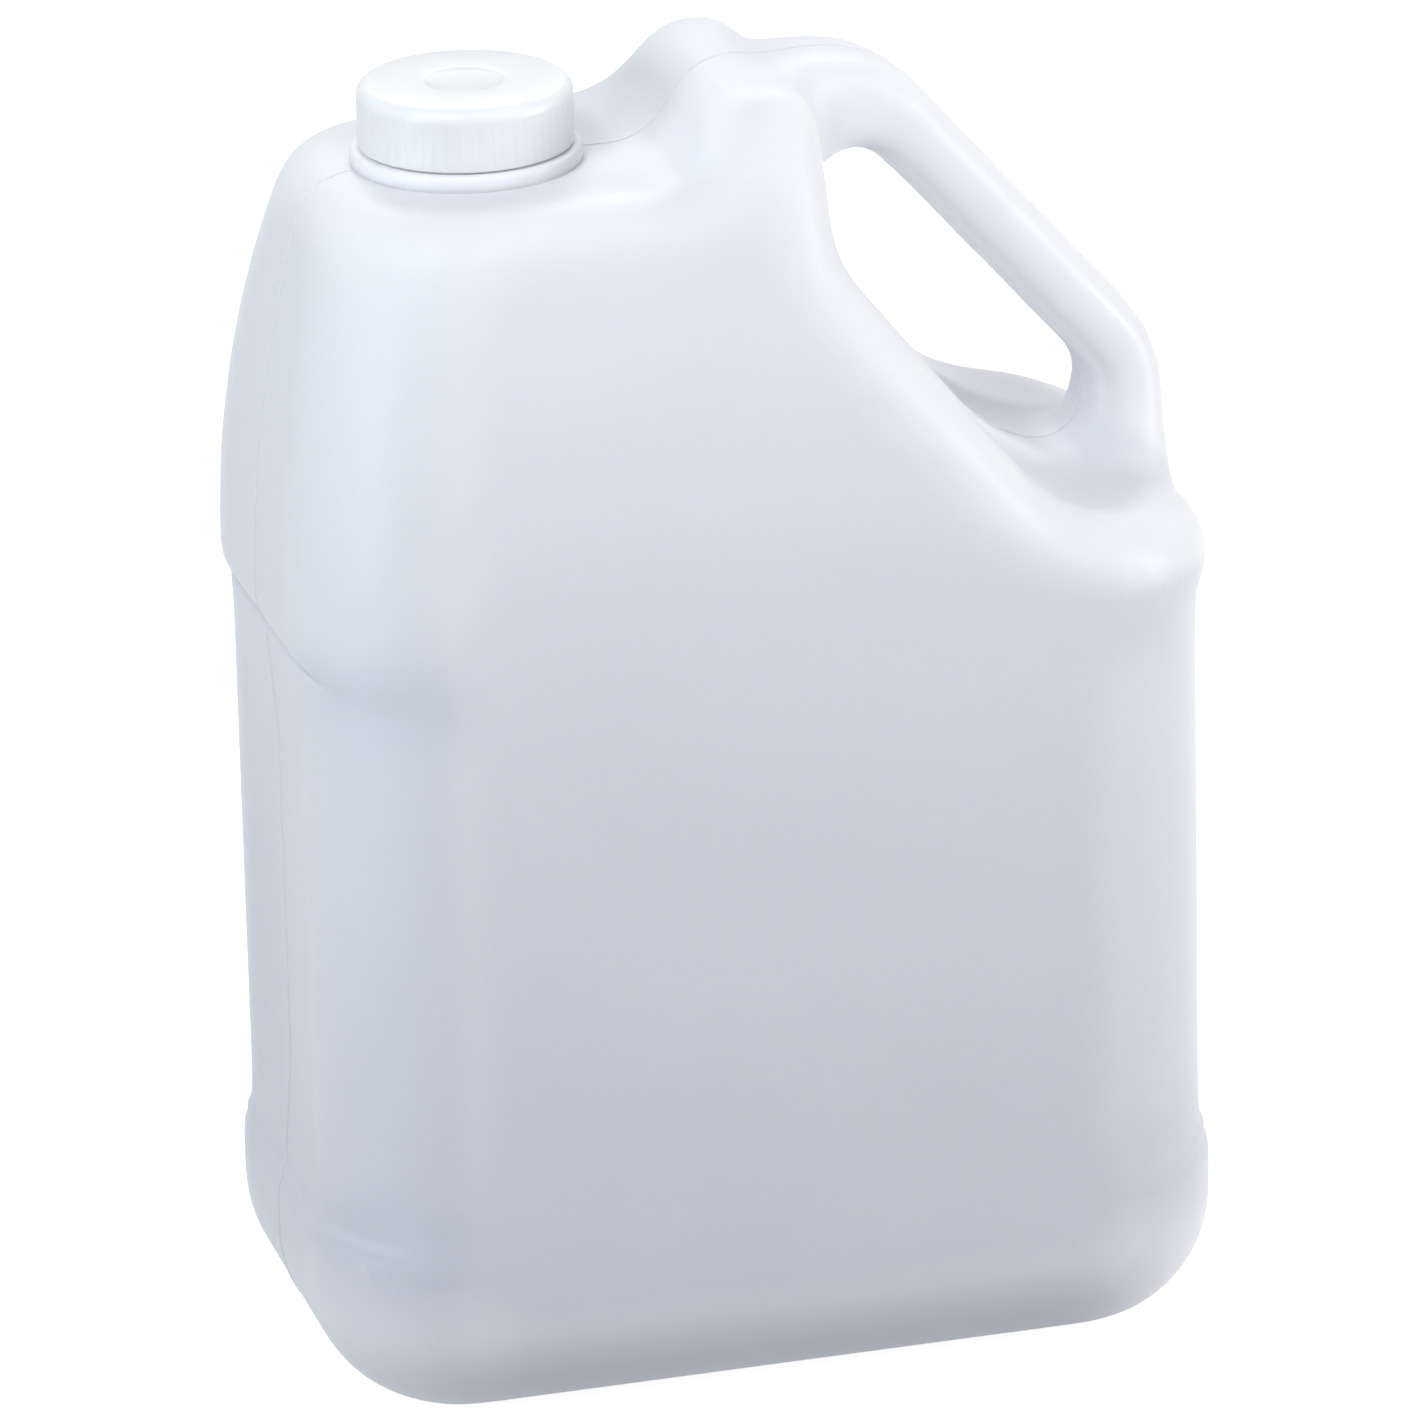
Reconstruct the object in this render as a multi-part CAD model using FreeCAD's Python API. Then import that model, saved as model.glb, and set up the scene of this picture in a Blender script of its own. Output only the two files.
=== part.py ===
import FreeCAD, Part
import math
import os
from FreeCAD import Vector

# One-gallon handled jug in natural polyethylene, with its screw cap and sealing liner.
# Millimetres. +X runs from the neck towards the handle, +Y from front to back, +Z up.
# The origin is at the middle of the base, on the surface that the jug stands on.
# The jug is blown in two mould halves that part at Y = 0, so it is the same front and back.
# Every form takes a wall: 0 draws the outside and WALL draws the cavity, and one is cut from the other.

# ---- driving dimensions --------------------------------------------------------------------
WIDTH = 188.0            # over the two side bands
DEPTH = 116.5            # front face to back face
SHOULDER_Z = 250.5       # flat shoulder that carries the neck
CROWN_Z = 266.6          # top of the hump where the handle starts
WALL = 1.1               # blown wall
CORNER_R = 31.0          # upright corners
BASE_R = 26.5            # round between the walls and the base
RIM_R = 12.0             # round where faces meet the shoulder, the hump and the handle cut

# Side panels, pressed in between two bands. The faces stay flush from top to bottom.
PANEL_DEPTH = 2.2
LOWER_FADE = (36.0, 46.0)    # lower band fades into the panel between these heights
UPPER_FADE = (154.5, 163.0)  # panel fades into the upper band between these heights

# Above these heights the sides and the faces lean inwards, along arcs that start upright.
SIDE_LEAN_Z = 163.0
SIDE_LEAN_R = 285.0
FACE_LEAN_Z = 166.0
FACE_LEAN_R = 209.0
HUMP_LEAN_R = 75.0       # above the shoulder the hump's front and back draw in faster

# Crown outline in the front view: shoulder, hump, then the cut that frees the handle.
# Each bend is (x, z, radius).
SADDLE = (-12.0, SHOULDER_Z, 12.0)
HUMP_TOP = (-1.5, CROWN_Z, 14.0)
HUMP_END = (17.0, CROWN_Z + 0.3, 10.5)
EYE_BEND = (17.0, 233.0, 20.0)
LEDGE_BEND = (59.0, 179.7, 30.0)
LEDGE_END_Z = 175.6      # the ledge under the handle falls a little towards its outer end

# Base: the jug stands on a ring round a shallow push-up.
PUSH_UP = (52.0, 18.0, 12.0)     # half width, half depth, corner radius
PUSH_UP_RISE = 2.5

# Handle tube: its centre line in the parting plane, as (x, z, bend radius), and the slim grip's
# section across it. Towards the hump and the ledge the section grows by a flare. The sections
# stand at the stations, in mm along the centre line, all of them on its straight runs.
HANDLE_LINE = [(0.0, 257.0, 0.0), (33.6, 256.8, 22.0), (85.4, 197.0, 20.0), (85.4, 162.0, 0.0)]
GRIP_OUTWARDS = 7.6      # reach away from the eye
GRIP_INWARDS = 7.0       # reach into the eye
GRIP_HALF = 12.5         # half depth
GRIP_R = 6.3             # corner radius
ROOT_FLARE = (45.0, 11.5, 4.7)       # run, extra half depth and extra corner radius at the hump's end
ROOT_SWEEP = (60.0, 23.0)            # run and extra reach into the eye
ROOT_RISE = (22.0, 14.0, 1.9)        # where the top of the root stands highest, over what run, by how much
FOOT_FLARE = (33.5, 15.6, 5.0)       # run, extra half depth and extra corner radius at the ledge's end
FOOT_SWEEP = (0.5, 7.6)              # extra reach outwards and into the eye
STATIONS = (0.0, 8.0, 16.0, 22.5, 43.0, 60.0, 80.0, 100.0, 119.0, 127.0, 136.0, 145.5)
GRIP_FOOT_Z = 205.0      # below here the handle is its foot
ROOT_BLEND_R = 6.0       # hollow rounds where the handle leaves the hump
FOOT_BLEND_R = 8.0       # and where it lands on the ledge

# Neck of the 38 mm class, on a low round collar.
NECK_X = -48.0
NECK_R = 17.45
NECK_BORE_R = 15.2
NECK_TOP_Z = 263.6
COLLAR_R = 23.0
COLLAR_TOP_Z = 253.6

# Cap and liner. The liner seals on the lip of the neck and touches the cap's inner top.
LINER_THICK = 1.0
LINER_R = 18.5           # a little less than the cap's bore
CAP_R = 21.4
CAP_TOP_Z = 266.8
CAP_BORE_R = 18.95
CAP_FOOT_GAP = 0.4       # between the skirt and the collar
CAP_FOOT_BEVEL = 0.4     # on both edges of the skirt's foot
CAP_EDGE_R = 2.6         # round between the skirt and the top
CAP_DISH = (8.0, 0.6)    # radius and depth of the dish in the middle of the top
CAP_DISH_SLOPE = 0.8     # its wall leans by this much
RIB_COUNT = 60
RIB_GROOVE_R = 0.7       # round flutes between the ribs, 0.25 deep
RIB_DEPTH = 0.25
RIB_FOOT_GAP = 1.2       # plain band below the flutes
RIB_END_GAP = 0.6        # and above them, up to the round

HALF_W = WIDTH / 2
HALF_D = DEPTH / 2
SEAM_Z = 150.0           # the crown block reaches down to here before it is trimmed
FADE_STEPS = 8           # plan sections along each fade, less one
FAR = 200.0


# ---- outlines ------------------------------------------------------------------------------
def in_front(u, v):
    """A point of a front-view outline."""
    return Vector(u, 0, v)


def in_side(u, v):
    """A point of a side-view outline."""
    return Vector(0, u, v)


def corner_arc(before, corner, after, radius):
    """Start, middle and end of the tangent arc that rounds a corner."""
    to_before = (before - corner).normalize()
    to_after = (after - corner).normalize()
    half_angle = to_before.getAngle(to_after) / 2
    run = radius / math.tan(half_angle)
    reach = radius / math.sin(half_angle) - radius
    inwards = (to_before + to_after).normalize()
    return corner + to_before * run, corner + inwards * reach, corner + to_after * run


def rounded_path(points, radii):
    """Edges of straight runs through points, with tangent arcs where the radius isn't 0."""
    edges = []
    last = points[0]
    for i in range(1, len(points) - 1):
        corner = points[i]
        if radii[i]:
            start, middle, end = corner_arc(points[i - 1], corner, points[i + 1], radii[i])
            edges.append(Part.makeLine(last, start))
            edges.append(Part.Arc(start, middle, end).toShape())
            last = end
        else:
            edges.append(Part.makeLine(last, corner))
            last = corner
    edges.append(Part.makeLine(last, points[-1]))
    return edges


def rounded_rectangle(half_u, half_v, radius, place):
    """Closed section that starts at the middle of one side, so that sections loft without twist."""
    start = (0, -half_v)
    corners = [(half_u, -half_v), (half_u, half_v), (-half_u, half_v), (-half_u, -half_v)]
    points = [place(u, v) for u, v in [start] + corners + [start]]
    return Part.Wire(rounded_path(points, [0] + [radius] * 4 + [0]))


def plan_section(half_x, half_y, radius, z):
    """Rounded rectangle seen from above."""
    return rounded_rectangle(half_x, half_y, radius, lambda u, v: Vector(u, v, z))


def arc_drop(radius, rise):
    """How far an arc that starts upright has drawn in after a rise."""
    return radius - math.sqrt(radius ** 2 - rise ** 2)


def side_x(z):
    """Half width at a height above SIDE_LEAN_Z."""
    return HALF_W - arc_drop(SIDE_LEAN_R, z - SIDE_LEAN_Z)


def face_y(z):
    """Half depth at a height above FACE_LEAN_Z: a long arc, then the hump's tighter one."""
    if z <= SHOULDER_Z:
        return HALF_D - arc_drop(FACE_LEAN_R, z - FACE_LEAN_Z)
    sine = (SHOULDER_Z - FACE_LEAN_Z) / FACE_LEAN_R
    cosine = math.sqrt(1 - sine ** 2)
    sine_here = sine + (z - SHOULDER_Z) / HUMP_LEAN_R
    return face_y(SHOULDER_Z) - HUMP_LEAN_R * (cosine - math.sqrt(1 - sine_here ** 2))


def wall_arc(place, half_at, sign, low, high):
    """Leaning stretch of one wall, from the function that gives its half size at a height."""
    middle = (low + high) / 2
    ends = [place(sign * half_at(z), z) for z in (low, middle, high)]
    return Part.Arc(*ends).toShape()


def closed_wire(edges, wall):
    """Closed wire from edges in any order, drawn in by a wall."""
    wire = Part.Wire(Part.sortEdges(edges)[0])
    return wire.makeOffset2D(-wall) if wall else wire


# ---- bottle --------------------------------------------------------------------------------
def crown_outline(wall):
    """Front view of the top of the bottle, without the handle."""
    bends = [SADDLE, HUMP_TOP, HUMP_END, EYE_BEND, LEDGE_BEND]
    left = in_front(-side_x(SHOULDER_Z), SHOULDER_Z)
    right = in_front(side_x(LEDGE_END_Z), LEDGE_END_Z)
    points = [left] + [in_front(x, z) for x, z, _ in bends] + [right]
    edges = rounded_path(points, [0] + [radius for _, _, radius in bends] + [0])
    edges.append(wall_arc(in_front, side_x, 1, SIDE_LEAN_Z, LEDGE_END_Z))
    edges.append(wall_arc(in_front, side_x, -1, SIDE_LEAN_Z, SHOULDER_Z))
    foot = [(HALF_W, SIDE_LEAN_Z), (HALF_W, SEAM_Z), (-HALF_W, SEAM_Z), (-HALF_W, SIDE_LEAN_Z)]
    edges += rounded_path([in_front(x, z) for x, z in foot], [0] * len(foot))
    return closed_wire(edges, wall)


def face_outline(wall):
    """Side view of the top of the bottle: front and back faces that lean together."""
    top = CROWN_Z + 5
    edges = []
    for sign in (-1, 1):
        edges.append(Part.makeLine(in_side(sign * HALF_D, SEAM_Z), in_side(sign * HALF_D, FACE_LEAN_Z)))
        edges.append(wall_arc(in_side, face_y, sign, FACE_LEAN_Z, SHOULDER_Z))
        edges.append(wall_arc(in_side, face_y, sign, SHOULDER_Z, top))
    edges.append(Part.makeLine(in_side(-face_y(top), top), in_side(face_y(top), top)))
    edges.append(Part.makeLine(in_side(-HALF_D, SEAM_Z), in_side(HALF_D, SEAM_Z)))
    return closed_wire(edges, wall)


def slab(wire, direction):
    """Solid swept from a flat closed wire, half of the direction each way."""
    face = Part.Face(wire)
    face.translate(direction * -0.5)
    return face.extrude(direction)


def is_upright_corner(edge):
    """Corner between a side and a face, rather than an edge along the crown or the seam."""
    centre = edge.CenterOfMass
    return abs(centre.x) > 0.9 * side_x(SHOULDER_Z) and abs(centre.y) > 1 and edge.BoundBox.ZLength > 5


def is_crown_face(face):
    """Shoulder, hump, eye wall or ledge: swept straight through from front to back."""
    low_u, high_u, low_v, high_v = face.ParameterRange
    normal = face.normalAt((low_u + high_u) / 2, (low_v + high_v) / 2)
    centre = face.CenterOfMass
    between_sides = -0.95 * side_x(SHOULDER_Z) < centre.x < 0.95 * HALF_W
    return abs(normal.y) < 1e-4 and centre.z > LEDGE_END_Z and between_sides


def rim_edges(solid):
    """The crown's two long rims and its two ends, where it meets the leaning walls."""
    crown = [face for face in solid.Faces if is_crown_face(face)]
    edges = [edge for face in crown for edge in face.Edges]
    return [edge for edge in edges if sum(edge.isSame(other) for other in edges) == 1]


def crown_block(wall):
    """Upper part of the bottle: front outline and side outline crossed, then rounded."""
    block = slab(crown_outline(wall), Vector(0, 2 * FAR, 0))
    block = block.common(slab(face_outline(wall), Vector(2 * FAR, 0, 0)))
    block = block.makeFillet(CORNER_R - wall, [edge for edge in block.Edges if is_upright_corner(edge)])
    block = block.makeFillet(RIM_R - wall, rim_edges(block))
    keep = Part.makeBox(2 * FAR, 2 * FAR, 2 * FAR, Vector(-FAR, -FAR, UPPER_FADE[1]))
    return block.common(keep)


def straight_part(half_x, low, high, wall):
    """Upright part of the body between two heights."""
    wire = plan_section(half_x - wall, HALF_D - wall, CORNER_R - wall, low)
    return Part.Face(wire).extrude(Vector(0, 0, high - low))


def fade_part(band_z, panel_z, wall):
    """Smooth step from a band to the side panel, lofted through plan sections along an S curve."""
    sections = []
    for i in range(FADE_STEPS + 1):
        step = i / FADE_STEPS
        inset = PANEL_DEPTH * step * step * (3 - 2 * step)
        z = band_z + (panel_z - band_z) * step
        sections.append(plan_section(HALF_W - wall - inset, HALF_D - wall, CORNER_R - wall, z))
    return Part.makeLoft(sections, True, False)


def foot_block(wall):
    """Lower band, rounded into the base."""
    block = straight_part(HALF_W, wall, LOWER_FADE[0], wall)
    base = [edge for edge in block.Edges if abs(edge.BoundBox.ZMax - wall) < 1e-6]
    return block.makeFillet(BASE_R - wall, base)


def push_up(wall):
    """Shallow hollow under the base, or the rise that it makes in the cavity's floor."""
    half_x, half_y, radius = PUSH_UP
    foot = plan_section(half_x + wall, half_y + wall, radius + wall, -1)
    top = plan_section(half_x + wall - 4, half_y + wall - 4, radius + wall - 4, PUSH_UP_RISE + wall)
    return Part.makeLoft([foot, top], True, True)


def body_form(wall):
    """Whole body without neck and handle."""
    foot = foot_block(wall)
    lower = fade_part(LOWER_FADE[0], LOWER_FADE[1], wall)
    panel = straight_part(HALF_W - PANEL_DEPTH, LOWER_FADE[1], UPPER_FADE[0], wall)
    upper = fade_part(UPPER_FADE[1], UPPER_FADE[0], wall)
    body = foot.fuse([lower, panel, upper, crown_block(wall)])
    return body.removeSplitter().cut(push_up(wall))


def along(wire, distance):
    """Point and direction at a distance along a wire."""
    for edge in wire.Edges:
        if distance <= edge.Length:
            break
        distance -= edge.Length
    at = edge.getParameterByLength(min(distance, edge.Length))
    return edge.valueAt(at), edge.tangentAt(at)


def flare(distance, run, power):
    """1 at one end of the tube, falling smoothly to 0 over a run."""
    return max(0.0, 1 - distance / run) ** power


def handle_size(distance):
    """Reach outwards, reach inwards, half depth and corner radius of the tube at a distance along it."""
    root = flare(distance, ROOT_FLARE[0], 3)
    sweep = flare(distance, ROOT_SWEEP[0], 3)
    peak, run, height = ROOT_RISE
    rise = height * math.exp(-((distance - peak) / run) ** 2)
    foot = flare(STATIONS[-1] - distance, FOOT_FLARE[0], 2)
    outwards = GRIP_OUTWARDS + rise + FOOT_SWEEP[0] * foot
    inwards = GRIP_INWARDS + ROOT_SWEEP[1] * sweep + FOOT_SWEEP[1] * foot
    half_depth = GRIP_HALF + ROOT_FLARE[1] * root + FOOT_FLARE[1] * foot
    return outwards, inwards, half_depth, GRIP_R + ROOT_FLARE[2] * root + FOOT_FLARE[2] * foot


def handle_section(spine, distance, wall):
    """Section across the tube, on its centre line."""
    outwards, inwards, half_depth, radius = handle_size(distance)
    place, direction = along(spine, distance)
    out = Vector(-direction.z, 0, direction.x)
    middle = place + out * (outwards - inwards) / 2
    half_height = (outwards + inwards) / 2
    return rounded_rectangle(half_depth - wall, half_height - wall, radius - wall,
                             lambda u, v: middle + Vector(0, u, 0) + out * v)


def handle_form(wall):
    """Handle tube, swept along its centre line through sections that all stand on its straight runs."""
    points = [in_front(x, z) for x, z, _ in HANDLE_LINE]
    spine = Part.Wire(rounded_path(points, [radius for _, _, radius in HANDLE_LINE]))
    sweep = Part.BRepOffsetAPI.MakePipeShell(spine)
    sweep.setBiNormalMode(Vector(0, 1, 0))
    for distance in STATIONS:
        sweep.add(handle_section(spine, distance, wall))
    sweep.build()
    sweep.makeSolid()
    return sweep.shape()


def meeting_edges(joined, first, second):
    """Edges of a joined shape that run where its two forms meet."""
    seam = first.section(second)
    edges = []
    for edge in joined.Edges:
        middle = edge.valueAt((edge.FirstParameter + edge.LastParameter) / 2)
        if seam.distToShape(Part.Vertex(middle))[0] < 1e-3:
            edges.append(edge)
    return edges


def blown_form(wall):
    """Body and handle as one smooth form, with hollow rounds at both ends of the handle."""
    body = body_form(wall)
    handle = handle_form(wall)
    joined = body.fuse(handle)
    edges = meeting_edges(joined, body, handle)
    foot = [edge for edge in edges if edge.CenterOfMass.z < GRIP_FOOT_Z]
    joined = joined.makeFillet(FOOT_BLEND_R + wall, foot)
    edges = meeting_edges(joined, body, handle)
    root = [edge for edge in edges if edge.CenterOfMass.z > EYE_BEND[1] and edge.CenterOfMass.x > SADDLE[0]]
    return joined.makeFillet(ROOT_BLEND_R + wall, root)


def bottle():
    """Blown shell: walls, hollow handle, collar and neck in one piece."""
    up = Vector(0, 0, 1)
    collar = Part.makeCylinder(COLLAR_R, 8, Vector(NECK_X, 0, COLLAR_TOP_Z - 8), up)
    neck = Part.makeCylinder(NECK_R, 20, Vector(NECK_X, 0, NECK_TOP_Z - 20), up)
    bore = Part.makeCylinder(NECK_BORE_R, 30, Vector(NECK_X, 0, NECK_TOP_Z - 25), up)
    return blown_form(0).fuse([collar, neck]).cut(blown_form(WALL)).cut(bore)


# ---- closure -------------------------------------------------------------------------------
def turned(points, radii):
    """Solid turned about the neck's axis from a closed (radius, z) outline with rounded corners."""
    corners = [Vector(NECK_X + r, 0, z) for r, z in points]
    face = Part.Face(Part.Wire(rounded_path(corners + [corners[0]], radii + [0])))
    return face.revolve(Vector(NECK_X, 0, 0), Vector(0, 0, 1), 360)


def cap():
    """Screw cap: ribbed skirt, rounded top edge, shallow dish. The skirt reaches nearly to the collar."""
    foot_z = COLLAR_TOP_Z + CAP_FOOT_GAP
    inner_top_z = NECK_TOP_Z + LINER_THICK
    dish_r, dish_depth = CAP_DISH
    bevel = CAP_FOOT_BEVEL
    dish_z = CAP_TOP_Z - dish_depth
    outline = [(0, dish_z), (dish_r - CAP_DISH_SLOPE, dish_z), (dish_r, CAP_TOP_Z),
               (CAP_R, CAP_TOP_Z), (CAP_R, foot_z + bevel), (CAP_R - bevel, foot_z),
               (CAP_BORE_R + bevel, foot_z), (CAP_BORE_R, foot_z + bevel),
               (CAP_BORE_R, inner_top_z), (0, inner_top_z)]
    body = turned(outline, [0, 0, 0, CAP_EDGE_R] + [0] * 6)
    flutes = []
    flute_top_z = CAP_TOP_Z - CAP_EDGE_R - RIB_END_GAP
    for i in range(RIB_COUNT):
        turn = math.radians(i * 360 / RIB_COUNT)
        reach = CAP_R + RIB_GROOVE_R - RIB_DEPTH
        start = Vector(NECK_X + reach * math.cos(turn), reach * math.sin(turn), foot_z + RIB_FOOT_GAP)
        flutes.append(Part.makeCylinder(RIB_GROOVE_R, flute_top_z - start.z, start, Vector(0, 0, 1)))
    return body.cut(flutes)


def liner():
    """Sealing disc between the cap and the lip of the neck."""
    return Part.makeCylinder(LINER_R, LINER_THICK, Vector(NECK_X, 0, NECK_TOP_Z), Vector(0, 0, 1))


def main():
    os.makedirs("parts", exist_ok=True)
    for name, make in (("bottle", bottle), ("cap", cap), ("liner", liner)):
        solid = make()
        solid.exportStep("parts/" + name + ".step")
        box = solid.BoundBox
        print(name, "valid", solid.isValid(), "solids", len(solid.Solids), "faces", len(solid.Faces),
              "volume cm3", round(solid.Volume / 1000, 2),
              "box", [round(v, 2) for v in (box.XMin, box.YMin, box.ZMin, box.XMax, box.YMax, box.ZMax)])


if __name__ == "__main__":
    main()
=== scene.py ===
# %% [markdown]
# # A one-gallon jug in natural polyethylene
#
# The jug is blown in one piece: a hot tube of plastic is caught between two mould halves and
# inflated. That gives it three marks which this lesson keeps in mind: no edge is sharp, the wall
# is thin and lets light through, and a faint line runs round it where the mould halves met.
# The solid model comes in as a frame that says where everything is. The lesson gives it its
# surface, its threads and its plastics.

# %% Load the frame
import math

import bmesh
import bpy
from mathutils import Matrix, Vector


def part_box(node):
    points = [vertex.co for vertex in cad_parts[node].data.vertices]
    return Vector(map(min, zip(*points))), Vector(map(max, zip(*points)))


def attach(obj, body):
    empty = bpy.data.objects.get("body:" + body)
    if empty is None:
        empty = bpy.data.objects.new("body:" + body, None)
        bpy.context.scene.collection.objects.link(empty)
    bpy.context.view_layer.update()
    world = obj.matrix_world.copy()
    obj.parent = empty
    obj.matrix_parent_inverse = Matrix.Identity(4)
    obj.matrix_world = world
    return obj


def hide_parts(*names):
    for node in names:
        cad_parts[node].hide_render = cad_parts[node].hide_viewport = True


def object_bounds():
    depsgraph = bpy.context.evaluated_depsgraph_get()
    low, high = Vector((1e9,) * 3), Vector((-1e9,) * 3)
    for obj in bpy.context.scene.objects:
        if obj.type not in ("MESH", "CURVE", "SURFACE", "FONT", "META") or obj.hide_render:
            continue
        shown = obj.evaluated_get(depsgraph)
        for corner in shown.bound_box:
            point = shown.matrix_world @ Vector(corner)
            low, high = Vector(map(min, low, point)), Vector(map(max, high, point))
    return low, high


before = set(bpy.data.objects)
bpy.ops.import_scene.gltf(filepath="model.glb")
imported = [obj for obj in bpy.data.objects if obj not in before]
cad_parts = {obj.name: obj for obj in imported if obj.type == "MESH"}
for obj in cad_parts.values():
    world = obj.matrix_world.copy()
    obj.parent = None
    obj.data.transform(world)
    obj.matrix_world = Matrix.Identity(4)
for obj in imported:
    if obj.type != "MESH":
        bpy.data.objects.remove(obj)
cad_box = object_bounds()
MM = 0.001
low, high = cad_box
height = high.z - low.z
print("jug", [round(v / MM, 1) for v in high - low], "mm")

# %% [markdown]
# ## Camera
#
# A product picture is taken from far away with a long lens, so that upright edges stay nearly
# upright. Here the camera stands a little left of the front and looks down by about twenty
# degrees. Placing it by two angles and a distance, rather than by three coordinates, keeps the
# view easy to change.

# %% Place the camera
VIEW_LEFT = 15.1        # degrees round from the front
VIEW_UP = 20.7          # degrees above the horizon
VIEW_ROLL = 1.3         # the picture leans a little
VIEW_DISTANCE = 2.154   # metres
LENS = 269.5            # millimetres, for a picture of PICTURE_WIDTH
PICTURE_WIDTH = 36      # millimetres
AIM = -0.0004, 0.0001   # metres from the middle, across and back
AIM_SHARE = 0.4794      # height of the aim, as a share of the jug's

target = Vector((*AIM, AIM_SHARE * height))
left, up = math.radians(VIEW_LEFT), math.radians(VIEW_UP)
forward = Vector((math.sin(left) * math.cos(up), math.cos(left) * math.cos(up), -math.sin(up)))

camera_data = bpy.data.cameras.new("camera")
camera_data.lens = LENS
camera_data.sensor_width = PICTURE_WIDTH
camera_data.clip_end = 20
camera = bpy.data.objects.new("camera", camera_data)
bpy.context.scene.collection.objects.link(camera)
turn = forward.to_track_quat("-Z", "Y").to_matrix() @ Matrix.Rotation(math.radians(-VIEW_ROLL), 3, "Z")
camera.matrix_world = Matrix.LocRotScale(target - forward * VIEW_DISTANCE, turn, None)
bpy.context.scene.camera = camera
print("camera at", [round(v, 3) for v in camera.location])

# %% [markdown]
# ## Studio
#
# Milky plastic shows its form through slow changes of tone, so it wants large soft lamps and not
# much light from the room itself, which would even everything out. One broad lamp hangs above.
# On each side a softbox lights the corner from above and a narrow low strip draws the pale band
# along the rounded edge. A last lamp behind lifts the handle and the far rims. The backdrop's
# extra white shows when it is looked at, and in gloss, but adds no soft light to the jug, which
# would otherwise lose its shading.

# %% Colours and nodes
def linear(hex_colour):
    """Linear RGBA of an sRGB hex colour."""
    parts = [int(hex_colour[i:i + 2], 16) / 255 for i in (0, 2, 4)]
    return tuple(c / 12.92 if c <= 0.04045 else ((c + 0.055) / 1.055) ** 2.4 for c in parts) + (1.0,)


def add_node(tree, kind, settings=None, links=None):
    """A shader node with its settings, which are its own or its inputs', and what feeds its inputs."""
    node = tree.nodes.new(kind)
    for name, value in (settings or {}).items():
        if isinstance(name, int) or name in node.inputs:
            node.inputs[name].default_value = value
        else:
            setattr(node, name, value)
    for name, socket in (links or {}).items():
        tree.links.new(socket, node.inputs[name])
    return node


def new_material(name):
    """A material with an empty node tree, and its tree."""
    material = bpy.data.materials.new(name)
    material.use_nodes = True
    material.node_tree.nodes.clear()
    return material, material.node_tree


# %% Backdrop
AMBIENT = 0.14          # light of the room, where 1 is white
FLOOR_GLOW = 0.90       # extra whiteness of the floor where it is looked at, or seen in gloss
FLOOR_GAP = 0.0002      # metres between the floor and the jug


def seen_directly(tree):
    """1 for rays that look straight at the backdrop, or at it in gloss or through glass, else 0."""
    rays = add_node(tree, "ShaderNodeLightPath").outputs
    either = add_node(tree, "ShaderNodeMath", {"operation": "MAXIMUM"},
                      {0: rays["Is Camera Ray"], 1: rays["Is Glossy Ray"]})
    return add_node(tree, "ShaderNodeMath", {"operation": "MAXIMUM"},
                    {0: either.outputs[0], 1: rays["Is Transmission Ray"]}).outputs[0]


world = bpy.data.worlds.new("studio")
world.use_nodes = True
tree = world.node_tree
tree.nodes.clear()
room = add_node(tree, "ShaderNodeBackground", {"Color": linear("F1F5FB"), "Strength": AMBIENT})
seen = add_node(tree, "ShaderNodeBackground", {"Color": (1, 1, 1, 1), "Strength": 1.0})
either = add_node(tree, "ShaderNodeMixShader",
                  links={0: seen_directly(tree), 1: room.outputs[0], 2: seen.outputs[0]})
add_node(tree, "ShaderNodeOutputWorld", links={"Surface": either.outputs[0]})
bpy.context.scene.world = world

floor_paint, tree = new_material("pale_floor")
paint = add_node(tree, "ShaderNodeBsdfDiffuse", {"Color": linear("C0C2C5")})
glow = add_node(tree, "ShaderNodeEmission", {"Color": (1, 1, 1, 1)})
share = add_node(tree, "ShaderNodeMath", {"operation": "MULTIPLY", 1: FLOOR_GLOW}, {0: seen_directly(tree)})
tree.links.new(share.outputs[0], glow.inputs["Strength"])
both = add_node(tree, "ShaderNodeAddShader", links={0: paint.outputs[0], 1: glow.outputs[0]})
add_node(tree, "ShaderNodeOutputMaterial", links={"Surface": both.outputs[0]})

bpy.ops.mesh.primitive_plane_add(size=12, location=(0, 0, low.z - FLOOR_GAP))
floor = bpy.context.object
floor.name = "floor"
floor.data.materials.append(floor_paint)

# %% Lamps
def add_lamp(name, azimuth, elevation, distance, width, tall, watts, colour):
    """A rectangular softbox that faces the middle of the jug."""
    lamp = bpy.data.lights.new(name, "AREA")
    lamp.shape = "RECTANGLE"
    lamp.size = width
    lamp.size_y = tall
    lamp.energy = watts
    lamp.color = linear(colour)[:3]
    around, above = math.radians(azimuth), math.radians(elevation)
    away = Vector((math.sin(around) * math.cos(above), -math.cos(around) * math.cos(above), math.sin(above)))
    place = target + away * distance
    box = bpy.data.objects.new(name, lamp)
    bpy.context.scene.collection.objects.link(box)
    box.matrix_world = Matrix.LocRotScale(place, (target - place).to_track_quat("-Z", "Y"), None)
    return box


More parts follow.
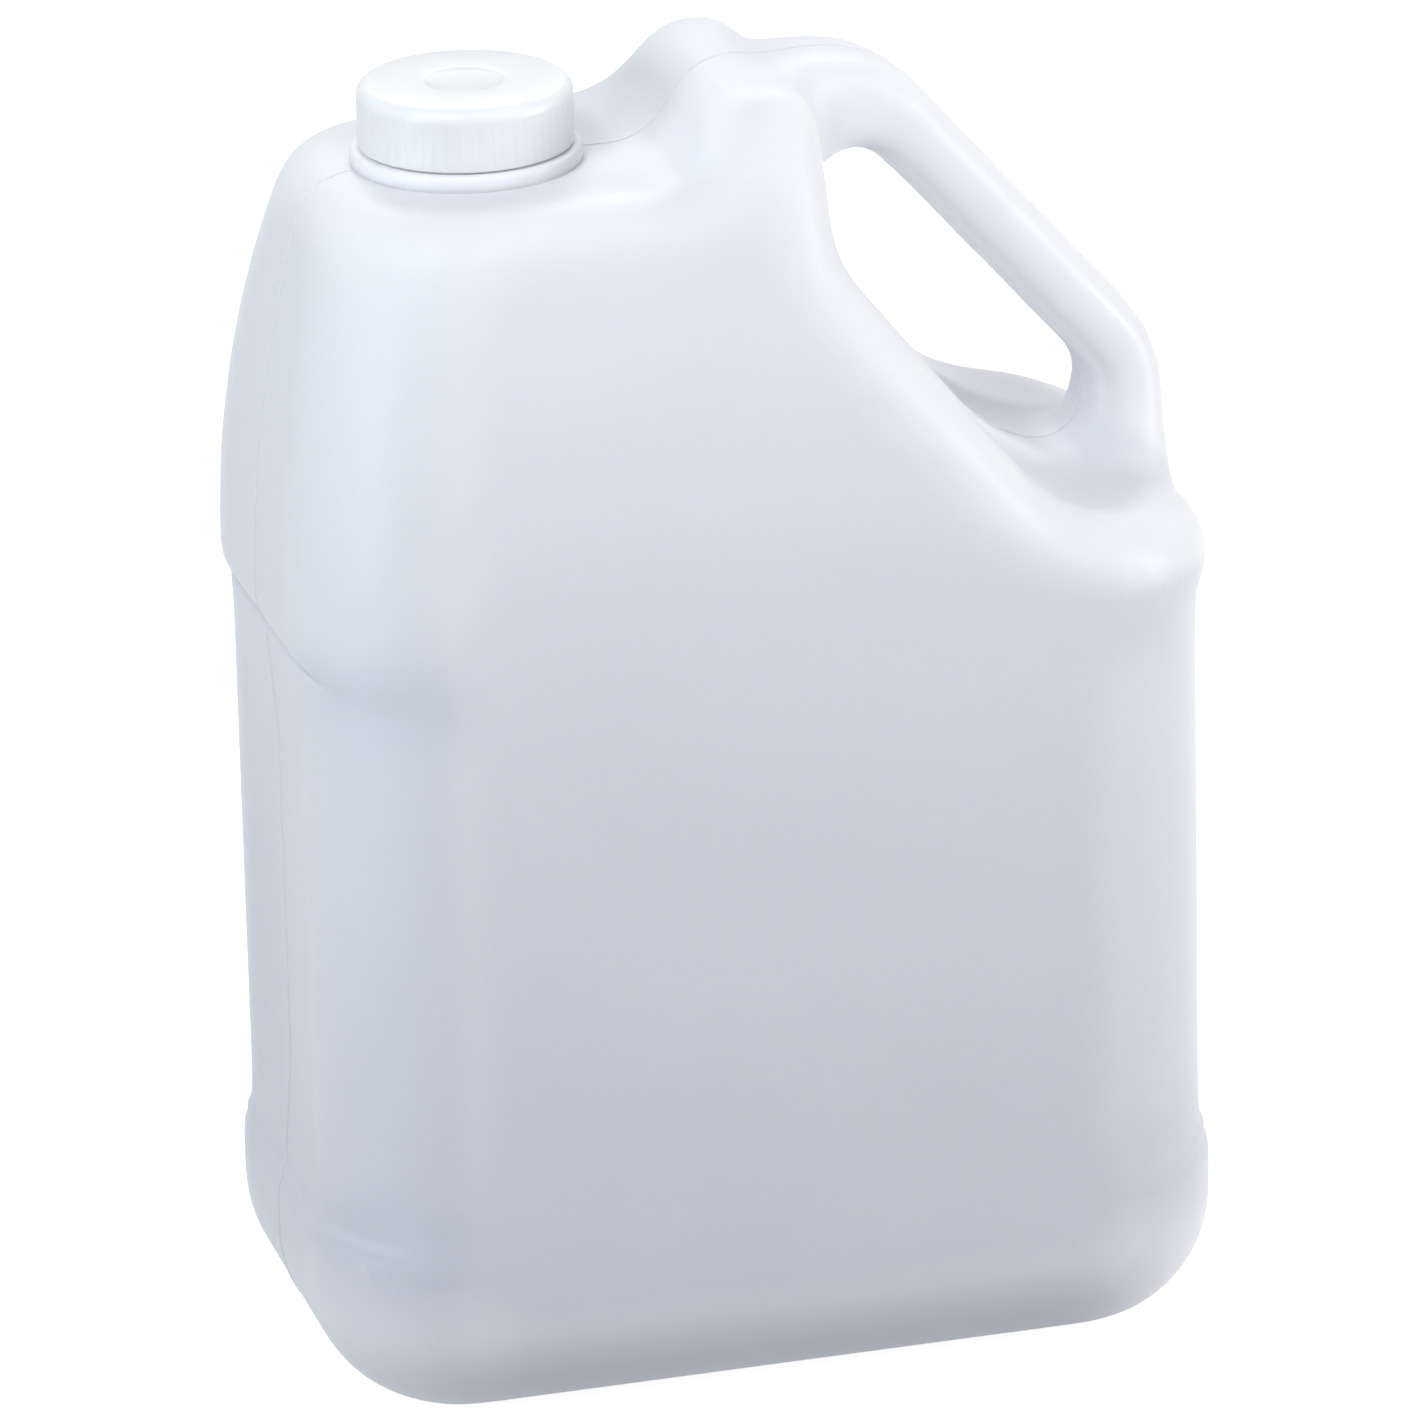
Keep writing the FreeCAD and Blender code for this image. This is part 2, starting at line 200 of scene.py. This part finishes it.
# azimuth counts from the front towards the handle
add_lamp("top_softbox", -20, 68, 1.0, 1.1, 0.9, 1.5, "F6FAFF")
add_lamp("left_softbox", -48, 45, 1.3, 0.5, 0.6, 7.6, "EEF8FF")
add_lamp("left_strip", -66, 8, 1.2, 0.3, 0.7, 4.0, "EEF8FF")
add_lamp("right_softbox", 35, 45, 1.3, 0.5, 0.6, 1.4, "FFFFFF")
add_lamp("right_strip", 64, 8, 1.2, 0.3, 0.7, 8.8, "FFFFFF")
add_lamp("back_softbox", 165, 45, 1.2, 0.9, 0.6, 5.2, "FFFFFF")
scene = bpy.context.scene
scene.view_settings.view_transform = "Standard"

# %% [markdown]
# ## Natural polyethylene
#
# High-density polyethylene with no pigment is milky: it has no colour of its own, and light
# wanders a little way through it before it leaves. A subsurface shader does exactly that. The
# colour carries painted light and shade: it is painted lighter towards the top and greyer low
# down. It also carries a painted highlight: it is painted whiter where the wall turns. So four
# tones are mixed, by height and by an attribute called roundness, which a later cell measures on
# the mesh. The mould leaves a satin skin, so its gloss is broad and weak.

# %% Blown polyethylene
SHADED_Z, LIT_Z = 20 * MM, 262 * MM     # heights between which the painted light goes from shaded to lit
CLOUD = 45 * MM                         # size of the faint clouds of thicker and thinner wall
GRAIN = 1.6 * MM                        # moulded grain, drawn a little coarser than it is
DRIFT = 0.08                            # how far the clouds shift the mix of tones, up or down
FLAT_PAINTED_TONES = linear("CFD0D8"), linear("ECEDF2")     # painted shade low down and painted light up top, on flat wall
HIGHLIGHT_TONES = linear("E8E6EA"), linear("F8F7F9")    # the same with a painted highlight, whiter where the wall turns


def blown_polyethylene():
    """Unpigmented high-density polyethylene, blown: milky, clouded and satin, with painted light by height
    and a painted highlight on its rounds.
    """
    material, tree = new_material("blown_natural_polyethylene")
    place = add_node(tree, "ShaderNodeTexCoord").outputs["Object"]
    across = add_node(tree, "ShaderNodeSeparateXYZ", links={"Vector": place}).outputs
    painted_highlight_mask = add_node(tree, "ShaderNodeAttribute", {"attribute_name": "roundness"}).outputs["Fac"]

    clouds = add_node(tree, "ShaderNodeTexNoise", {"Scale": 1 / CLOUD, "Detail": 2.0, "Roughness": 0.45},
                      {"Vector": place}).outputs["Fac"]
    # painted light and shade: the tone goes from the greyer one low down to the lighter one up top
    painted_light_by_height = add_node(tree, "ShaderNodeMapRange", {"From Min": SHADED_Z, "From Max": LIT_Z},
                     {"Value": across["Z"]}).outputs[0]
    drift = add_node(tree, "ShaderNodeMath", {"operation": "MULTIPLY_ADD", 1: 2 * DRIFT, 2: -DRIFT},
                     {0: clouds})
    blend = add_node(tree, "ShaderNodeMath", {"operation": "ADD", "use_clamp": True},
                     {0: painted_light_by_height, 1: drift.outputs[0]}).outputs[0]
    tones = [add_node(tree, "ShaderNodeMix", {"data_type": "RGBA", "A": shaded_tone, "B": lit_tone},
                      {"Factor": blend}).outputs["Result"] for shaded_tone, lit_tone in (FLAT_PAINTED_TONES, HIGHLIGHT_TONES)]
    # painted highlight: the colour is made whiter where the roundness attribute says the wall turns
    tone = add_node(tree, "ShaderNodeMix", {"data_type": "RGBA"},
                    {"Factor": painted_highlight_mask, "A": tones[0], "B": tones[1]})

    grain = add_node(tree, "ShaderNodeTexNoise", {"Scale": 1 / GRAIN, "Detail": 3.0}, {"Vector": place})
    skin = add_node(tree, "ShaderNodeBump", {"Strength": 0.05, "Distance": 0.1 * MM},
                    {"Height": grain.outputs["Fac"]})
    gloss = add_node(tree, "ShaderNodeMapRange",
                     {"From Min": 0.3, "From Max": 0.7, "To Min": 0.34, "To Max": 0.40},
                     {"Value": clouds}).outputs[0]
    plastic = add_node(tree, "ShaderNodeBsdfPrincipled",
                       {"IOR": 1.54, "Specular IOR Level": 0.15, "Subsurface Weight": 0.3,
                        "Subsurface Scale": 2.5 * MM, "Subsurface Radius": (1.1, 1.0, 0.9)},
                       {"Base Color": tone.outputs["Result"], "Roughness": gloss,
                        "Normal": skin.outputs["Normal"]})
    add_node(tree, "ShaderNodeOutputMaterial", links={"Surface": plastic.outputs[0]})
    return material


bottle_plastic = blown_polyethylene()
print("material", bottle_plastic.name)

# %% [markdown]
# ## The blown body
#
# The frame already holds the jug's form, but as thousands of loose triangles whose shading breaks
# at every face of the solid. A blown jug is one soft skin with no such breaks. So the outer skin
# is copied, closed at the neck, rebuilt as an even net of small squares, and smoothed a little,
# which is also what the mould does to any edge.

# %% Helpers for pieces
def link(name, mesh, material, body):
    """Makes an object of a mesh, gives it its plastic and lets it ride on a body."""
    piece = bpy.data.objects.new(name, mesh)
    bpy.context.scene.collection.objects.link(piece)
    mesh.materials.clear()
    mesh.materials.append(material)
    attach(piece, body)
    return piece


def to_mesh(bm, name):
    """Ends a bmesh as a smooth-shaded mesh."""
    for face in bm.faces:
        face.smooth = True
    mesh = bpy.data.meshes.new(name)
    bm.to_mesh(mesh)
    bm.free()
    return mesh


def apply_modifiers(piece):
    """Puts the result of a piece's modifiers into its mesh."""
    bpy.context.view_layer.update()
    result = piece.evaluated_get(bpy.context.evaluated_depsgraph_get())
    mesh = bpy.data.meshes.new_from_object(result)
    piece.modifiers.clear()
    piece.data = mesh


# %% Outer skin of the bottle
WALL = 1.1 * MM
SKIN_NET = 2.3 * MM      # side of the squares of the even net
COLLAR_R = 23 * MM
COLLAR_TOP = 253.6 * MM
SHOULDER = 250.5 * MM
LIP_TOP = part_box("liner")[0].z
neck_x = sum(corner.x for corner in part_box("liner")) / 2


def from_neck(point):
    """Distance of a point from the neck's axis."""
    return math.hypot(point.x - neck_x, point.y)


def is_neck(face):
    """Neck, collar and bore, above the underside of the shoulder."""
    middle = face.calc_center_median()
    return middle.z > SHOULDER - 5 * MM and from_neck(middle) < COLLAR_R + 0.05 * MM


skin = bmesh.new()
skin.from_mesh(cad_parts["bottle"].data)
bmesh.ops.remove_doubles(skin, verts=skin.verts, dist=0.002 * MM)
bmesh.ops.delete(skin, geom=[f for f in skin.faces if is_neck(f)], context="FACES")
bmesh.ops.remove_doubles(skin, verts=skin.verts, dist=0.02 * MM)
bmesh.ops.holes_fill(skin, edges=[e for e in skin.edges if e.is_boundary], sides=0)
print("skin", len(skin.faces), "triangles")

# %% Rebuild and smooth the skin
blown_body = link("blown_body", to_mesh(skin, "blown_skin"), bottle_plastic, "bottle")
net = blown_body.modifiers.new("even net", "REMESH")
net.mode = "VOXEL"
net.voxel_size = SKIN_NET
net.use_smooth_shade = True
soft = blown_body.modifiers.new("soft", "SMOOTH")
soft.factor = 0.5
soft.iterations = 6
apply_modifiers(blown_body)
print("blown body", len(blown_body.data.polygons), "squares")

# %% [markdown]
# ## Side panels
#
# Between a lower and an upper lip the side walls are sunk, which keeps them from bulging when the
# jug is full. The even net is too coarse for a crisp lip, so only the faces near the lips are
# divided again. Then each point is moved sideways, by the difference between the solid's soft lip
# and the crisp one: a short step below, and above it a round that ends in a crease. Each panel is
# also dished a little, as a thin wall is when it cools.

# %% Divide the net near the lips
PANEL_DEPTH = 2.2 * MM
PANEL_HALF = 32 * MM                  # half width of a side panel
SOFT_LOWER, SOFT_UPPER = (36 * MM, 46 * MM), (154.5 * MM, 163 * MM)     # the solid's lips
STEP_FOOT, STEP_TOP = 38.5 * MM, 43 * MM
CREASE_Z, ROUND_TOP = 158.6 * MM, 163.5 * MM
CREASE_DEPTH, CREASE_WIDTH = 0.6 * MM, 1.0 * MM
UPPER_RUN_OUT, LOWER_RUN_OUT = (33 * MM, 44 * MM), (42 * MM, 57 * MM)   # the lips fade between these
DISH = 1.5 * MM
SIDE_X = 58 * MM                      # the front and back faces lie nearer the middle than this


def near_lip(vert):
    """On a side wall or its corners, and close to a lip."""
    z = vert.co.z
    lower_lip = STEP_FOOT - 3 * MM < z < SOFT_LOWER[1] + 1 * MM
    upper_lip = CREASE_Z - 4 * MM < z < ROUND_TOP + 1 * MM
    return abs(vert.co.x) > SIDE_X and (lower_lip or upper_lip)


panels = bmesh.new()
panels.from_mesh(blown_body.data)
lip_edges = [e for e in panels.edges if all(near_lip(v) for v in e.verts)]
bmesh.ops.subdivide_edges(panels, edges=lip_edges, cuts=2, use_grid_fill=True)
print("divided", len(lip_edges), "edges near the lips")


# %% Move the walls
def ease(start, end, value):
    """0 at start, 1 at end, smooth between."""
    t = min(1, max(0, (value - start) / (end - start)))
    return t * t * (3 - 2 * t)


def soft_sink(z):
    """How far the solid's side wall is sunk at a height."""
    return PANEL_DEPTH * ease(*SOFT_LOWER, z) * ease(SOFT_UPPER[1], SOFT_UPPER[0], z)


def crisp_sink(y, z):
    """The same with crisp lips, and a crease under the upper one that runs out at the corners."""
    over_crease = min(1, max(0, (z - CREASE_Z) / (ROUND_TOP - CREASE_Z)))
    crease = CREASE_DEPTH * math.exp(-((z - CREASE_Z) / CREASE_WIDTH) ** 2)
    crisp = PANEL_DEPTH * ease(STEP_FOOT, STEP_TOP, z) * (1 - over_crease) ** 2 + crease
    run_out = UPPER_RUN_OUT if z > SOFT_LOWER[1] + 20 * MM else LOWER_RUN_OUT
    return soft_sink(z) + (crisp - soft_sink(z)) * ease(run_out[1], run_out[0], abs(y))


def dish(y, z):
    """The hollow of a side panel: deepest half-way between its corners, none at its lips."""
    across = max(0, 1 - (y / PANEL_HALF) ** 2) ** 2
    return DISH * across * ease(STEP_TOP, STEP_TOP + 25 * MM, z) * ease(CREASE_Z, CREASE_Z - 25 * MM, z)


for vert in panels.verts:
    x, y, z = vert.co
    if SOFT_LOWER[0] - 2 * MM < z < ROUND_TOP + 2 * MM and abs(x) > SIDE_X:
        share = ease(SIDE_X, SIDE_X + 8 * MM, abs(x))
        vert.co.x -= math.copysign(share * (crisp_sink(y, z) - soft_sink(z) + dish(y, z)), x)
blown_body.data = to_mesh(panels, "blown_body")
blown_body.data.materials.append(bottle_plastic)
print("dish", DISH / MM, "mm")

# %% [markdown]
# ## Wall and neck
#
# The closed skin is opened under the neck and gets a wall of the real thickness, inwards. The
# neck isn't blown but pressed in the mould, so it is crisp: a plain turned ring with a collar at
# its foot and a lip at its top. Its section is drawn once, its corners are rounded, and the
# section is spun round the axis. The hole in the skin stays hidden between the collar and the ring's foot.

# %% Open the skin under the neck
HOLE_R = 18.5 * MM

shell = bmesh.new()
shell.from_mesh(blown_body.data)
under_neck = [f for f in shell.faces if f.calc_center_median().z > SHOULDER - 2 * MM
              and from_neck(f.calc_center_median()) < HOLE_R]
bmesh.ops.delete(shell, geom=under_neck, context="FACES")
blown_body.data = to_mesh(shell, "blown_body")
blown_body.data.materials.append(bottle_plastic)
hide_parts("bottle")
print("opened the skin by", len(under_neck), "squares")

# %% Measure how much the skin turns
WIDE_SMOOTHING = 100                         # passes, many more than the six that softened the skin
LEAST_PULL, MOST_PULL = 0.3 * MM, 1.5 * MM   # a nearly flat wall, and a tight rim


def mark_painted_highlight(piece, values):
    """Stores one value a point for the painted highlight, from 0 where the wall is flat to 1 where it turns
    most.
    """
    piece.data.attributes.new("roundness", "FLOAT", "POINT").data.foreach_set("value", values)


def pull_inwards(piece):
    """How far a wide smoothing pulls each point of a skin inwards."""
    wide = piece.modifiers.new("wide", "SMOOTH")
    wide.factor = 0.5
    wide.iterations = WIDE_SMOOTHING
    bpy.context.view_layer.update()
    smooth = bpy.data.meshes.new_from_object(piece.evaluated_get(bpy.context.evaluated_depsgraph_get()))
    piece.modifiers.remove(wide)
    return [(v.co - w.co).dot(v.normal) for v, w in zip(piece.data.vertices, smooth.vertices)]


# the roundness paints a highlight into the colour: the wall is painted whiter where it turns
pulls = pull_inwards(blown_body)
mark_painted_highlight(blown_body, [min(1, max(0, (p - LEAST_PULL) / (MOST_PULL - LEAST_PULL))) for p in pulls])
print("pull", round(min(pulls) / MM, 1), "to", round(max(pulls) / MM, 1), "mm")

# %% Give the skin its wall
wall = blown_body.modifiers.new("wall", "SOLIDIFY")
wall.thickness = WALL
wall.offset = -1
wall.use_even_offset = True
print("wall", WALL / MM, "mm")


# %% Turned sections
def section(points, rounds):
    """Closed outline of (radius, height) points as a bmesh, with corners rounded by their radius."""
    bm = bmesh.new()
    corners = [bm.verts.new((neck_x + r, 0, z)) for r, z in points]
    bm.faces.new(corners)
    for radius in sorted(set(rounds) - {0}):
        sharp = [corner for corner, own in zip(corners, rounds) if own == radius]
        bmesh.ops.bevel(bm, geom=sharp, offset=radius, affect="VERTICES", segments=4, profile=0.5,
                        material=-1)
    return bm


def turn(bm, steps):
    """Spins a section's outline once round the neck's axis."""
    on_axis = [e for e in bm.edges if all(from_neck(v.co) < 1e-6 for v in e.verts)]
    bmesh.ops.delete(bm, geom=bm.faces[:], context="FACES_ONLY")
    bmesh.ops.delete(bm, geom=on_axis, context="EDGES")
    bmesh.ops.spin(bm, geom=bm.verts[:] + bm.edges[:], cent=(neck_x, 0, 0), axis=(0, 0, 1),
                   angle=math.tau, steps=steps, use_merge=True)
    bmesh.ops.remove_doubles(bm, verts=bm.verts, dist=0.001 * MM)
    bmesh.ops.recalc_face_normals(bm, faces=bm.faces)


# %% Neck ring
NECK_R = 17.45 * MM
BORE_R = 15.2 * MM
FOOT = SHOULDER - 1.3 * MM

outline = [(BORE_R, LIP_TOP), (NECK_R, LIP_TOP), (NECK_R, COLLAR_TOP), (COLLAR_R, COLLAR_TOP),
           (COLLAR_R, SHOULDER - 0.3 * MM), (NECK_R, FOOT), (BORE_R, FOOT)]
ring = section(outline, [0.4 * MM, 0.5 * MM, 0.8 * MM, 1.0 * MM, 0, 0, 0.4 * MM])
turn(ring, 128)
neck = link("neck", to_mesh(ring, "neck"), bottle_plastic, "bottle")
# painted highlight: the whole neck is painted seven tenths as white as the tightest rounds
mark_painted_highlight(neck, [0.7] * len(neck.data.vertices))
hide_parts("bottle")
print("neck", len(neck.data.polygons), "faces")

# %% [markdown]
# ## Parting line
#
# Where the two halves of the mould met, a fine ridge runs round the jug, over the hump, along the
# handle and through its eye. Cutting the skin with the plane between front and back gives exactly
# this line. Its edges become a curve with a thin round section, half sunk in the wall.

# %% Ridge along the parting plane
RIDGE_R = 0.2 * MM

cut = bmesh.new()
cut.from_mesh(blown_body.data)
parts = cut.verts[:] + cut.edges[:] + cut.faces[:]
found = bmesh.ops.bisect_plane(cut, geom=parts, plane_co=(0, 0, 0), plane_no=(0, 1, 0))["geom_cut"]
on_plane = {e for e in found if isinstance(e, bmesh.types.BMEdge)}
bmesh.ops.delete(cut, geom=cut.faces[:], context="FACES_ONLY")
bmesh.ops.delete(cut, geom=[e for e in cut.edges if e not in on_plane], context="EDGES")
line = bpy.data.objects.new("parting_path", to_mesh(cut, "parting_path"))
bpy.context.scene.collection.objects.link(line)
bpy.ops.object.select_all(action="DESELECT")
bpy.context.view_layer.objects.active = line
line.select_set(True)
bpy.ops.object.convert(target="CURVE")
line.data.bevel_depth = RIDGE_R
line.data.bevel_resolution = 1
line.data.use_fill_caps = True      # the ridge ends inside the neck ring
bpy.context.view_layer.update()
ridge_mesh = bpy.data.meshes.new_from_object(line.evaluated_get(bpy.context.evaluated_depsgraph_get()))
bpy.data.objects.remove(line)
parting_ridge = link("parting_ridge", ridge_mesh, bottle_plastic, "bottle")
# painted highlight: the ridge is painted almost as white as the tightest rounds
mark_painted_highlight(parting_ridge, [0.8] * len(ridge_mesh.vertices))
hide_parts("bottle")
print("parting ridge", len(ridge_mesh.polygons), "faces")

# %% [markdown]
# ## Threads
#
# A 38 mm neck has about one and a quarter turns of a coarse thread, a rounded ridge that climbs
# 4.23 mm a turn and fades out at both ends so that a cap finds its start. The spin operator makes
# a helix when each of its steps also lifts the section. The cap carries the same ridge inside,
# half a pitch lower, so that the two lie between each other when it is closed and stay so while
# it turns and rises.

# %% Helical ridges
LEAD = 25.4 / 6 * MM     # six turns to the inch
THREAD_STEPS = 64        # steps of a turn


def thread(root_r, crest_r, start_angle, start_z, turns):
    """A helical ridge that stands on a wall of radius root_r, with both ends faded out."""
    bm = bmesh.new()
    half_root, half_crest = 1.05 * MM, 0.45 * MM
    outline = [(root_r, -half_root), (crest_r, -half_crest), (crest_r, half_crest), (root_r, half_root)]
    corners = [bm.verts.new((neck_x + r, 0, z)) for r, z in outline]
    bm.faces.new(corners)
    bmesh.ops.bevel(bm, geom=corners[1:3], offset=0.25 * MM, affect="VERTICES", segments=2,
                    profile=0.5, material=-1)
    bmesh.ops.rotate(bm, cent=(neck_x, 0, 0), matrix=Matrix.Rotation(start_angle, 3, "Z"), verts=bm.verts)
    bmesh.ops.translate(bm, vec=(0, 0, start_z), verts=bm.verts)
    steps = round(turns * THREAD_STEPS)
    bmesh.ops.spin(bm, geom=bm.verts[:] + bm.edges[:] + bm.faces[:], cent=(neck_x, 0, 0), axis=(0, 0, 1),
                   dvec=(0, 0, LEAD / THREAD_STEPS), angle=turns * math.tau, steps=steps)
    bmesh.ops.recalc_face_normals(bm, faces=bm.faces)
    for vert in bm.verts:
        along = (vert.co.z - start_z) / (turns * LEAD)
        fade = min(1.0, max(0.02, 6 * min(along, 1 - along)))
        radius = from_neck(vert.co)
        scale = (root_r + (radius - root_r) * fade) / radius
        vert.co.x = neck_x + (vert.co.x - neck_x) * scale
        vert.co.y *= scale
    return bm


neck_ridge = thread(NECK_R - 0.15 * MM, NECK_R + 1.15 * MM, 0, LIP_TOP - 7.7 * MM, 1.3)
neck_thread = link("neck_thread", to_mesh(neck_ridge, "neck_thread"), bottle_plastic, "bottle")
# painted highlight: the thread is painted seven tenths as white as the tightest rounds
mark_painted_highlight(neck_thread, [0.7] * len(neck_thread.data.vertices))
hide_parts("bottle")
print("neck thread", len(neck_thread.data.polygons), "faces")

# %% [markdown]
# ## Cap
#
# The cap is moulded in polypropylene, a stiffer and slightly whiter plastic. Its look is in three
# things: the full round from skirt to top, the shallow dish that keeps the top from bulging, and
# sixty fine flutes for the fingers. The section is spun with eight steps to a flute, and the flutes
# are then pressed into the skirt, deepest at every eighth step.

# %% Moulded polypropylene
def moulded_polypropylene():
    """Natural white polypropylene, injection moulded: denser white than the jug, with a soft shine."""
    material, tree = new_material("moulded_natural_polypropylene")
    place = add_node(tree, "ShaderNodeTexCoord").outputs["Object"]
    flow = add_node(tree, "ShaderNodeTexNoise", {"Scale": 1 / (14 * MM), "Detail": 2.0}, {"Vector": place})
    tone = add_node(tree, "ShaderNodeMix",
                    {"data_type": "RGBA", "A": linear("F5F4F6"), "B": linear("F9FAFC")},
                    {"Factor": flow.outputs["Fac"]})
    grain = add_node(tree, "ShaderNodeTexNoise", {"Scale": 1 / (0.9 * MM), "Detail": 2.0}, {"Vector": place})
    skin = add_node(tree, "ShaderNodeBump", {"Strength": 0.04, "Distance": 0.1 * MM},
                    {"Height": grain.outputs["Fac"]})
    gloss = add_node(tree, "ShaderNodeMapRange", {"To Min": 0.30, "To Max": 0.38},
                     {"Value": flow.outputs["Fac"]})
    plastic = add_node(tree, "ShaderNodeBsdfPrincipled",
                       {"IOR": 1.49, "Subsurface Weight": 1.0, "Subsurface Scale": 3 * MM,
                        "Subsurface Radius": (1.0, 1.0, 1.0)},
                       {"Base Color": tone.outputs["Result"], "Roughness": gloss.outputs[0],
                        "Normal": skin.outputs["Normal"]})
    add_node(tree, "ShaderNodeOutputMaterial", links={"Surface": plastic.outputs[0]})
    return material


cap_plastic = moulded_polypropylene()
print("material", cap_plastic.name)

# %% Spin the cap
cap_low, cap_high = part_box("cap")
CAP_R = (cap_high.x - cap_low.x) / 2
CAP_BORE_R = 18.95 * MM
CAP_INNER_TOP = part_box("liner")[1].z
DISH_R, DISH_DEPTH = 8 * MM, 0.6 * MM
FLUTES = 60
FLUTE_R, FLUTE_DEPTH = 0.9 * MM, 0.12 * MM
flute_foot, flute_top = cap_low.z + 1.2 * MM, cap_high.z - 3.2 * MM

rows = [flute_foot - 0.4 * MM, flute_foot, flute_top, flute_top + 0.4 * MM]
outline = [(0, cap_high.z - DISH_DEPTH), (DISH_R - 0.8 * MM, cap_high.z - DISH_DEPTH), (DISH_R, cap_high.z),
           (CAP_R, cap_high.z)] + [(CAP_R, z) for z in reversed(rows)]
outline += [(CAP_R, cap_low.z), (CAP_BORE_R, cap_low.z), (CAP_BORE_R, CAP_INNER_TOP), (0, CAP_INNER_TOP)]
rounds = [0, 0.6 * MM, 0.7 * MM, 2.6 * MM, 0, 0, 0, 0, 0.4 * MM, 0.4 * MM, 0, 0]
cap_mesh = section(outline, rounds)
turn(cap_mesh, 8 * FLUTES)
print("cap", len(cap_mesh.faces), "faces")


# %% Press the flutes in
def flute_depth(angle):
    """How deep the round-bottomed flutes are at an angle round the cap."""
    pitch = math.tau / FLUTES
    aside = CAP_R * abs((angle + pitch / 2) % pitch - pitch / 2)
    if aside >= FLUTE_R:
        return 0
    return max(0, math.sqrt(FLUTE_R ** 2 - aside ** 2) - (FLUTE_R - FLUTE_DEPTH))


for vert in cap_mesh.verts:
    radius = from_neck(vert.co)
    if radius > CAP_R - 0.01 * MM and flute_foot - 0.01 * MM < vert.co.z < flute_top + 0.01 * MM:
        scale = 1 - flute_depth(math.atan2(vert.co.y, vert.co.x - neck_x)) / radius
        vert.co.x = neck_x + (vert.co.x - neck_x) * scale
        vert.co.y *= scale
cap = link("cap_shell", to_mesh(cap_mesh, "cap_shell"), cap_plastic, "cap")
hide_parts("cap")

cap_ridge = thread(CAP_BORE_R + 0.1 * MM, CAP_BORE_R - 1.0 * MM, math.pi, LIP_TOP - 7.7 * MM, 1.4)
cap_thread = link("cap_thread", to_mesh(cap_ridge, "cap_thread"), cap_plastic, "cap")
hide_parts("cap")
print("cap thread", len(cap_thread.data.polygons), "faces")

# %% [markdown]
# ## Liner
#
# A disc of foamed polyethylene seals the lip. It is punched from sheet, so its edge is square with
# only the slightest round, and its cells show as a fine speckle.

# %% Foamed liner
CELL = 0.5 * MM          # a foam cell


def foamed_polyethylene():
    """Closed-cell polyethylene foam sheet: matt white with a fine speckle of cells."""
    material, tree = new_material("foamed_polyethylene")
    place = add_node(tree, "ShaderNodeTexCoord").outputs["Object"]
    cells = add_node(tree, "ShaderNodeTexVoronoi", {"Scale": 1 / CELL}, {"Vector": place}).outputs["Distance"]
    tone = add_node(tree, "ShaderNodeMix",
                    {"data_type": "RGBA", "A": linear("F3F4F6"), "B": linear("E4E7EB")},
                    {"Factor": cells})
    skin = add_node(tree, "ShaderNodeBump", {"Strength": 0.25, "Distance": 0.1 * MM}, {"Height": cells})
    foam = add_node(tree, "ShaderNodeBsdfPrincipled", {"IOR": 1.5, "Roughness": 0.75},
                    {"Base Color": tone.outputs["Result"], "Normal": skin.outputs["Normal"]})
    add_node(tree, "ShaderNodeOutputMaterial", links={"Surface": foam.outputs[0]})
    return material


liner_low, liner_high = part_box("liner")
LINER_R = (liner_high.x - liner_low.x) / 2
outline = [(0, liner_high.z), (LINER_R, liner_high.z), (LINER_R, liner_low.z), (0, liner_low.z)]
disc = section(outline, [0, 0.15 * MM, 0.15 * MM, 0])
turn(disc, 96)
liner = link("liner_disc", to_mesh(disc, "liner_disc"), foamed_polyethylene(), "liner")
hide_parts("liner")
print("liner", len(liner.data.polygons), "faces")
